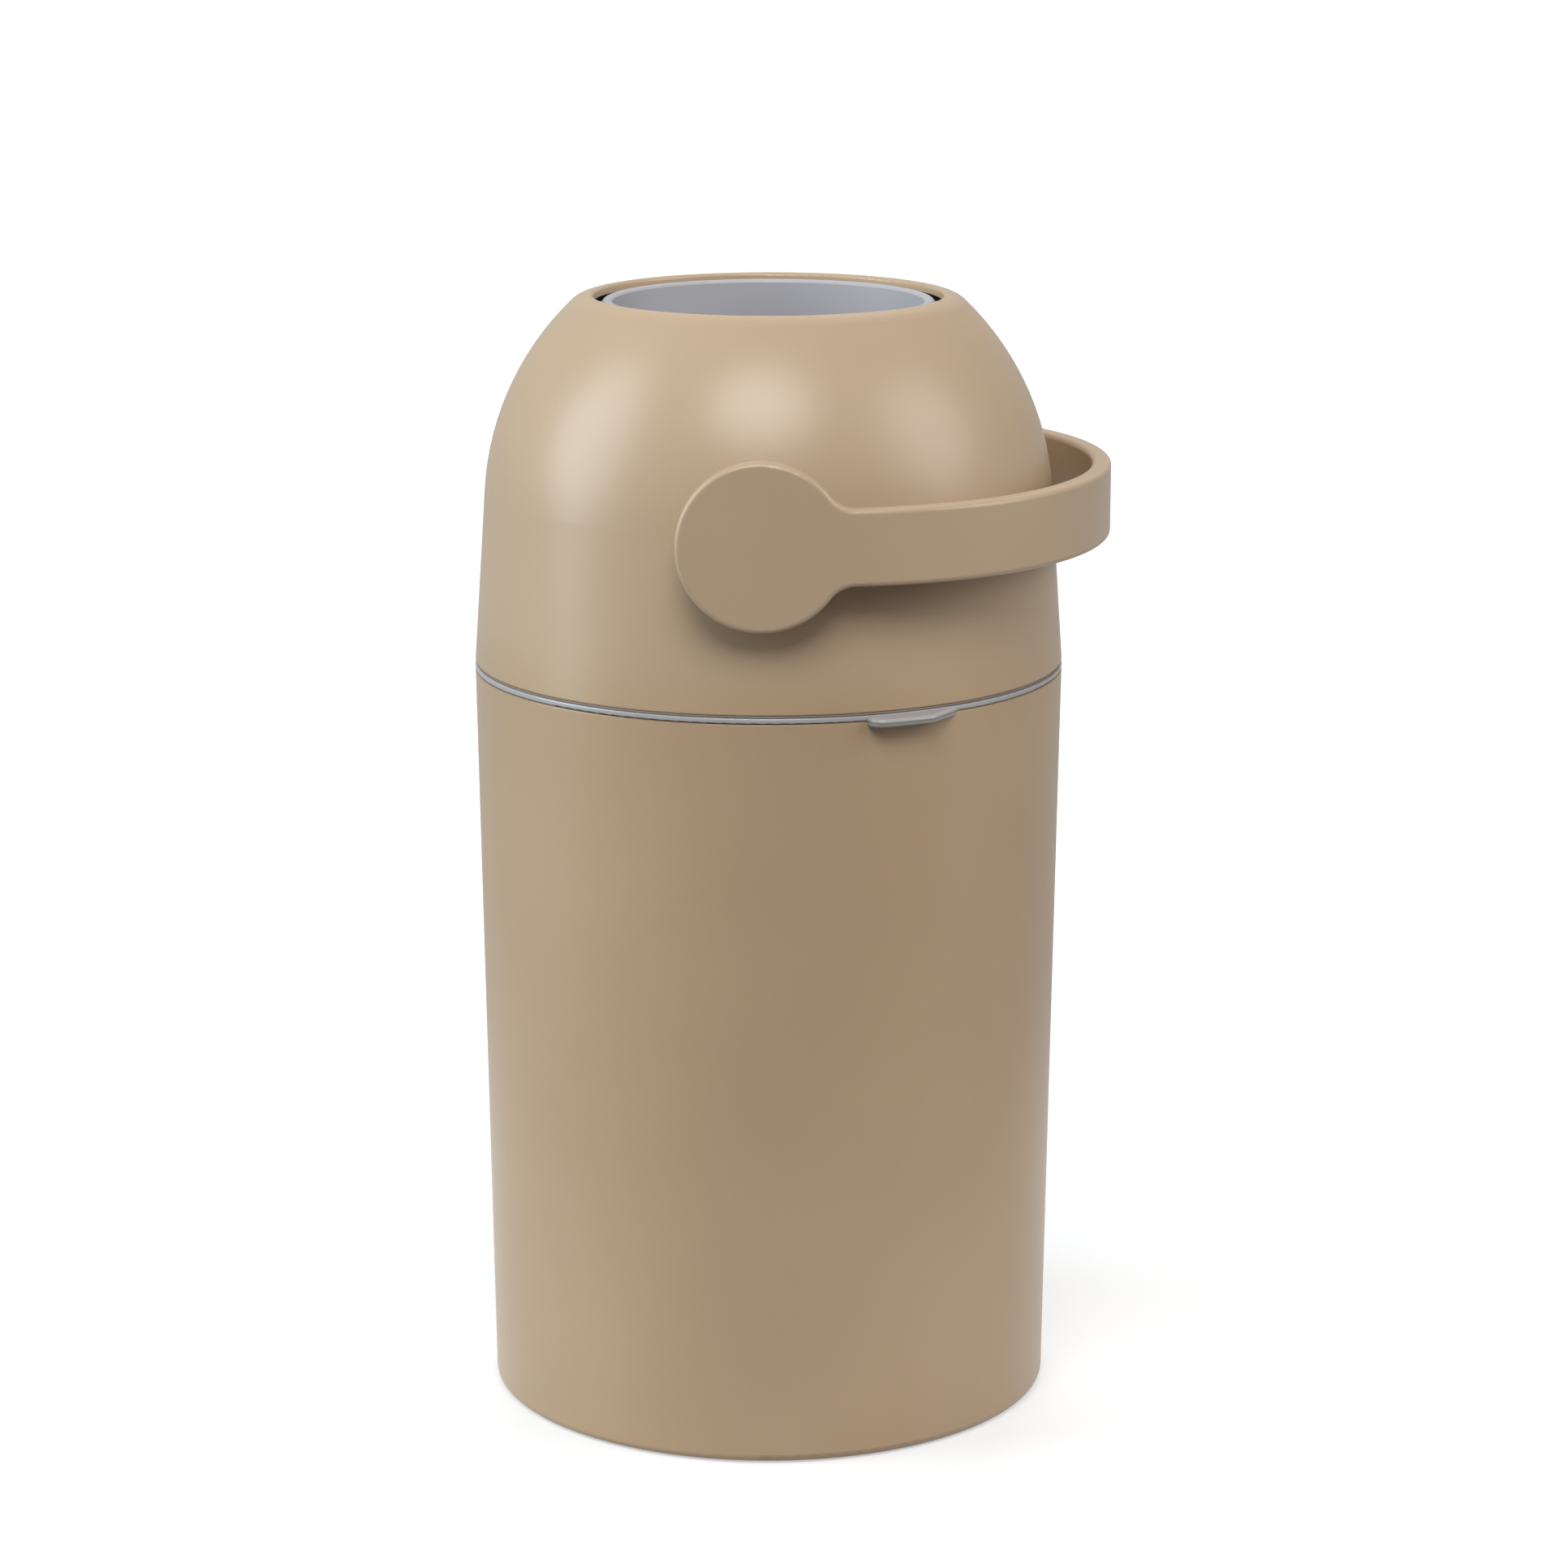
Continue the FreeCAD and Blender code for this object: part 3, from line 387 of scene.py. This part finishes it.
def rubber(name="rubber", plain=(34, 34, 35), pale=(58, 57, 56)):
    """Dull rubber with a fine open grain and a little pale bloom."""
    material, shader, place = blank(name)
    grain = place.noise(1500.0, 3.0, 0.65)
    bloom = place.noise(26.0, 4.0)
    colour = bloom.between(0.45, 0.8).mixed(shade(*plain), shade(*pale))
    wear(place, shader, colour, 0.62 + 0.2 * grain, grain * 2.5e-5)
    return material


def steel():
    """Zinc-plated steel: a drawn grain, cloudy plating and a little dulling."""
    material, shader, place = blank("steel")
    shader.inputs["Metallic"].default_value = 1.0
    drawn = place.stretched((900.0, 900.0, 60.0)).noise(1.0, 3.0)
    cloud = place.noise(55.0, 4.0)
    colour = cloud.between(0.3, 0.7).mixed(shade(176, 178, 182), shade(205, 206, 208))
    wear(place, shader, colour, 0.22 + 0.14 * drawn + 0.08 * cloud, drawn * 3e-6)
    return material


FINISHES = {make.__name__: make() for make in (tan_plastic, grey_plastic, bearing_plastic, rubber, steel)}
for part in frame["record"]["subparts"]:
    solid = frame["nodes"][part["node"]].data
    solid.materials.clear()
    solid.materials.append(FINISHES[part["material_slot"]])


# Soft rings and screws

def make_foot_ring():
    """A turned block, grooved from below in the third and the fifth of seven equal widths."""
    low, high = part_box("foot_ring")
    outer, inner = high.x, high.x - FOOT_WIDTH
    steps = np.linspace(inner, outer, 8)
    roof = low.z + FOOT_GROOVE
    foot = [(inner, high.z, FOOT_TOP_EDGE), (inner, low.z, FOOT_LOW_EDGE)]
    for start, end in ((steps[2], steps[3]), (steps[4], steps[5])):
        foot += [(start, low.z, GROOVE_EDGE), (start, roof, GROOVE_EDGE),
                 (end, roof, GROOVE_EDGE), (end, low.z, GROOVE_EDGE)]
    foot += [(outer, low.z, FOOT_LOW_EDGE), (outer, high.z, FOOT_TOP_EDGE)]
    piece("foot_ring_grooved", [lathe(rounded(foot))], "rubber", "bin", "foot_ring")


def make_gasket():
    """A turned bar with rounded edges, as high as its solid and reaching a little farther out."""
    low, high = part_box("head_gasket")
    inner, outer = high.x - GASKET_WIDTH, high.x + GASKET_BULGE
    gasket = [(inner, low.z, GASKET_EDGE), (outer, low.z, GASKET_EDGE),
              (outer, high.z, GASKET_EDGE), (inner, high.z, GASKET_EDGE)]
    bead = piece("head_gasket_bead", [lathe(rounded(gasket))], "rubber", "head", "head_gasket")
    bead.data.materials[0] = rubber("gasket_rubber", (121, 112, 101), (134, 125, 115))


def make_seals():
    """Turned lips that follow a sphere round the pivot, a little larger than the rotor.

    At a height h above the pivot the sphere's radius is sqrt(ball^2 - h^2), and at a radius r its height
    is sqrt(ball^2 - r^2). The lower seal is a foot with one lip, the upper has two and a groove between.
    """
    low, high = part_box("rotor_shell_upper")
    ball, pivot = high.x + SEAL_REACH, low.z

    low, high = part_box("lower_seal")
    outer, foot_top = high.x, low.z + SEAL_FOOT_HEIGHT
    at_foot, at_tip = (math.sqrt(ball ** 2 - (height - pivot) ** 2) for height in (low.z, high.z))
    lip = [(at_foot + SEAL_FOOT_GAP, low.z, SEAL_LIP_EDGE), (outer, low.z, SEAL_LIP_EDGE),
           (outer, foot_top, SEAL_FOOT_EDGE), (outer - SEAL_FOOT_WIDTH, foot_top, SEAL_HOLLOW_EDGE),
           (at_tip + SEAL_LIP_WIDTH, high.z, SEAL_BACK_EDGE), (at_tip, high.z, SEAL_LIP_EDGE)]
    piece("lower_seal_lip", [lathe(rounded(lip))], "rubber", "head", "lower_seal")

    low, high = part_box("upper_seal")
    outer, inner = high.x, high.x - SEAL_WIDTH
    lips = []
    for share, depth in SEAL_FACE:
        radius = inner + share * SEAL_WIDTH
        face = pivot + math.sqrt(ball ** 2 - radius ** 2) + depth * SEAL_GROOVE
        lips.append((radius, face, SEAL_GROOVE_EDGE))
    lips += [(outer, high.z - SEAL_WIDTH, SEAL_BACK_EDGE), (inner, high.z, SEAL_BACK_EDGE)]
    piece("upper_seal_lips", [lathe(rounded(lips))], "rubber", "head", "upper_seal")


def make_wiper():
    """A turned ring with a lip at either end and a valley between, at shares of its height."""
    low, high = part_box("piston_wiper")
    outer, height = high.x, high.z - low.z
    seat, valley = outer - WIPER_SEAT, outer - WIPER_VALLEY
    lip_end, valley_start, valley_end, lip_start = (low.z + share * height for share in WIPER_SHARES)
    wiper = [(seat, low.z, WIPER_SEAT_EDGE), (outer, low.z, WIPER_LIP_EDGE),
             (outer, lip_end, WIPER_SLOPE_EDGE), (valley, valley_start, WIPER_VALLEY_EDGE),
             (valley, valley_end, WIPER_VALLEY_EDGE), (outer, lip_start, WIPER_SLOPE_EDGE),
             (outer, high.z, WIPER_LIP_EDGE), (seat, high.z, WIPER_SEAT_EDGE)]
    piece("piston_wiper_lips", [lathe(rounded(wiper))], "rubber", "piston", "piston_wiper")


def make_screws():
    """Four upright screws at a square's corners, and two along Y that are mirror images."""
    low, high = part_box("baffle_screws")
    seat = low.z + BAFFLE_HEAD_HEIGHT
    shape = screw(BAFFLE_HEAD, BAFFLE_HEAD_HEIGHT, BAFFLE_SHANK, high.z - seat)
    spread = high.x - BAFFLE_HEAD
    places = [(x * spread, y * spread, seat) for x in (-1, 1) for y in (-1, 1)]
    piece("baffle_screws_cross", [shape + np.array(spot) for spot in places], "steel", "head",
          "baffle_screws", close_rows=False)

    low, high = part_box("hub_screws")
    middle = (low.z + high.z) / 2
    shape = screw(HUB_HEAD, HUB_HEAD_HEIGHT, HUB_SHANK, high.y - HUB_SEAT)
    outward = np.stack([shape[..., 0], shape[..., 2] + HUB_SEAT, shape[..., 1] + middle], axis=-1)
    piece("hub_screws_cross", [outward, outward * np.array([1, -1, 1])], "steel", "rotor",
          "hub_screws", close_rows=False)


make_foot_ring()
make_gasket()
make_seals()
make_wiper()
make_screws()


# Camera, fitted to the photograph's frame of 1932 by 1932 pixels

PHOTO = 1932
FOCAL = 5587.2
EYE_DISTANCE, EYE_HEIGHT = 2.05146, 0.76329
EYE_AZIMUTH, EYE_PITCH = math.radians(1.28), math.radians(13.126)
AXIS_COLUMN = 947.21
SENSOR_WIDTH = 36.0


def make_camera():
    """A camera at an azimuth and distance from the pail's axis, pitched down.

    Its yaw turns it back by the azimuth, and by the axis's offset from the middle column over the
    focal length times cos(pitch), so that the pail's axis comes to its column.
    """
    eye = Vector((math.sin(EYE_AZIMUTH), -math.cos(EYE_AZIMUTH), 0)) * EYE_DISTANCE
    eye.z = EYE_HEIGHT
    level = math.cos(EYE_PITCH)
    yaw = (PHOTO / 2 - AXIS_COLUMN) / (FOCAL * level) - EYE_AZIMUTH
    ahead = Vector((math.sin(yaw) * level, math.cos(yaw) * level, -math.sin(EYE_PITCH)))
    lens = bpy.data.cameras.new("camera")
    lens.sensor_width = SENSOR_WIDTH
    lens.lens = FOCAL / PHOTO * SENSOR_WIDTH
    camera = bpy.data.objects.new("camera", lens)
    camera.location = eye
    camera.rotation_mode = "QUATERNION"
    camera.rotation_quaternion = ahead.to_track_quat("-Z", "Y")
    bpy.context.scene.collection.objects.link(camera)
    bpy.context.scene.camera = camera


make_camera()


# Light: softboxes at both sides, one high in front, and one behind that gloss doesn't show

TARGET = Vector((0, 0, 0.35))
NEUTRAL, COOL = (1.0, 1.0, 1.0), (0.92, 1.02, 1.08)
# Name, azimuth, elevation, distance, width, height, watts, tint, and whether gloss shows it
LAMPS = (
    ("front_key", -3, 49, 5.0, 3.3, 2.7, 195.0, NEUTRAL, True),
    ("left_box", -82, 22, 4.0, 2.6, 3.9, 148.0, COOL, True),
    ("right_box", 79, 26, 4.0, 2.3, 2.67, 68.0, NEUTRAL, True),
    ("right_side", 62, 34, 4.0, 1.9, 2.67, 15.0, NEUTRAL, True),
    ("back_fill", 180, 36, 4.5, 3.2, 2.4, 120.0, NEUTRAL, False),
)


def make_lamp(name, azimuth, elevation, distance, width, height, watts, tint, mirrored):
    """A softbox at an azimuth from the front and an elevation, turned to the pail."""
    side, rise = math.radians(azimuth), math.radians(elevation)
    away = Vector((math.sin(side) * math.cos(rise), -math.cos(side) * math.cos(rise), math.sin(rise)))
    light = bpy.data.lights.new(name, "AREA")
    light.shape = "ELLIPSE"
    light.size, light.size_y = width, height
    light.energy = watts
    light.color = tint
    lamp = bpy.data.objects.new(name, light)
    lamp.location = TARGET + away * distance
    lamp.rotation_mode = "QUATERNION"
    lamp.rotation_quaternion = (-away).to_track_quat("-Z", "Y")
    lamp.visible_glossy = mirrored
    bpy.context.scene.collection.objects.link(lamp)


for lamp in LAMPS:
    make_lamp(*lamp)


# White backdrop and floor

WHITE = (1, 1, 1, 1)
# The sky's light, and the heights of a direction between which it comes up
SKY, SKY_RISE = 0.11, (0.1, 0.7)
# The light of the wall that gloss shows, how far it stands askew, and its soft edge
WALL, WALL_SKEW, WALL_EDGE = 0.48, 0.167, (-0.08, 0.06)
# The floor's colour near the pail and far away, and the distances between which it goes over
NEAR_COLOUR, FAR_COLOUR = (0.42, 0.42, 0.42, 1), (0.1, 0.1, 0.1, 1)
COLOUR_REACH = (0.3, 0.8)
# The floor's glow to the camera near the pail, the distances to full white, and its glow to gloss
NEAR_GLOW, GLOW_REACH, GROUND = 0.5, (0.25, 0.8), 0.42
FLOOR_ROUGHNESS = 0.9
# The radii of the floor's first and last rings, their number, and the points in each
FLOOR_NEAR, FLOOR_FAR, FLOOR_RINGS, FLOOR_AROUND = 0.05, 8.0, 40, 96


def seen_and_mirrored(tree):
    """Two masks: of rays that come from the camera, and of those that come off gloss or through glass."""
    ray = tree.nodes.new("ShaderNodeLightPath")
    seen, gloss, through = (Link(tree, ray.outputs[name]) for name in (
        "Is Camera Ray", "Is Glossy Ray", "Is Transmission Ray"))
    return seen, gloss.math("MAXIMUM", gloss, through)


def white_backdrop():
    """White to the camera. Gloss shows a wall behind the pail, and other light comes from a soft sky."""
    world = bpy.data.worlds.new("studio")
    world.use_nodes = True
    world.cycles.sampling_method = "NONE"
    tree = world.node_tree
    background = tree.nodes["Background"]
    seen, mirrored = seen_and_mirrored(tree)
    towards = Link(tree, tree.nodes.new("ShaderNodeTexCoord").outputs["Generated"])
    wall = (towards.component(Y) - WALL_SKEW * towards.component(X)).between(*WALL_EDGE) * WALL
    sky = towards.component(Z).between(*SKY_RISE) * SKY
    light = seen.math("MAXIMUM", seen, mirrored * wall + (1 - mirrored) * sky)
    background.inputs["Color"].default_value = WHITE
    tree.links.new(light.output, background.inputs["Strength"])
    bpy.context.scene.world = world


def white_floor():
    """A round flat floor whose rings widen by an even ratio.

    It is dull for the light that it returns. To the camera it also glows, less near the pail, so that it
    looks white but for a shadow, and to gloss it glows evenly.
    """
    reach = np.concatenate([[0.0], np.geomspace(FLOOR_NEAR, FLOOR_FAR, FLOOR_RINGS)])
    points = lathe(np.stack([reach, 0 * reach], axis=1), FLOOR_AROUND)
    mesh = bpy.data.meshes.new("floor")
    mesh.from_pydata(points.reshape(-1, 3), [], quads(*points.shape[:2], False)[:, ::-1])
    floor = bpy.data.objects.new("floor", mesh)
    bpy.context.scene.collection.objects.link(floor)
    material, shader, place = blank("floor")
    material.cycles.emission_sampling = "NONE"
    tree = place.tree
    shader.inputs["Roughness"].default_value = FLOOR_ROUGHNESS
    shader.inputs["Emission Strength"].default_value = 1.0
    seen, mirrored = seen_and_mirrored(tree)
    away = place.length()
    plain = away.between(*COLOUR_REACH).mixed(NEAR_COLOUR, FAR_COLOUR)
    pale = NEAR_GLOW + (1 - NEAR_GLOW) * away.between(*GLOW_REACH)
    lift = seen * pale + mirrored * GROUND
    tree.links.new(plain.output, shader.inputs["Base Color"])
    tree.links.new(lift.output, shader.inputs["Emission Color"])
    mesh.materials.append(material)


white_backdrop()
white_floor()
bpy.context.scene.view_settings.view_transform = "Standard"
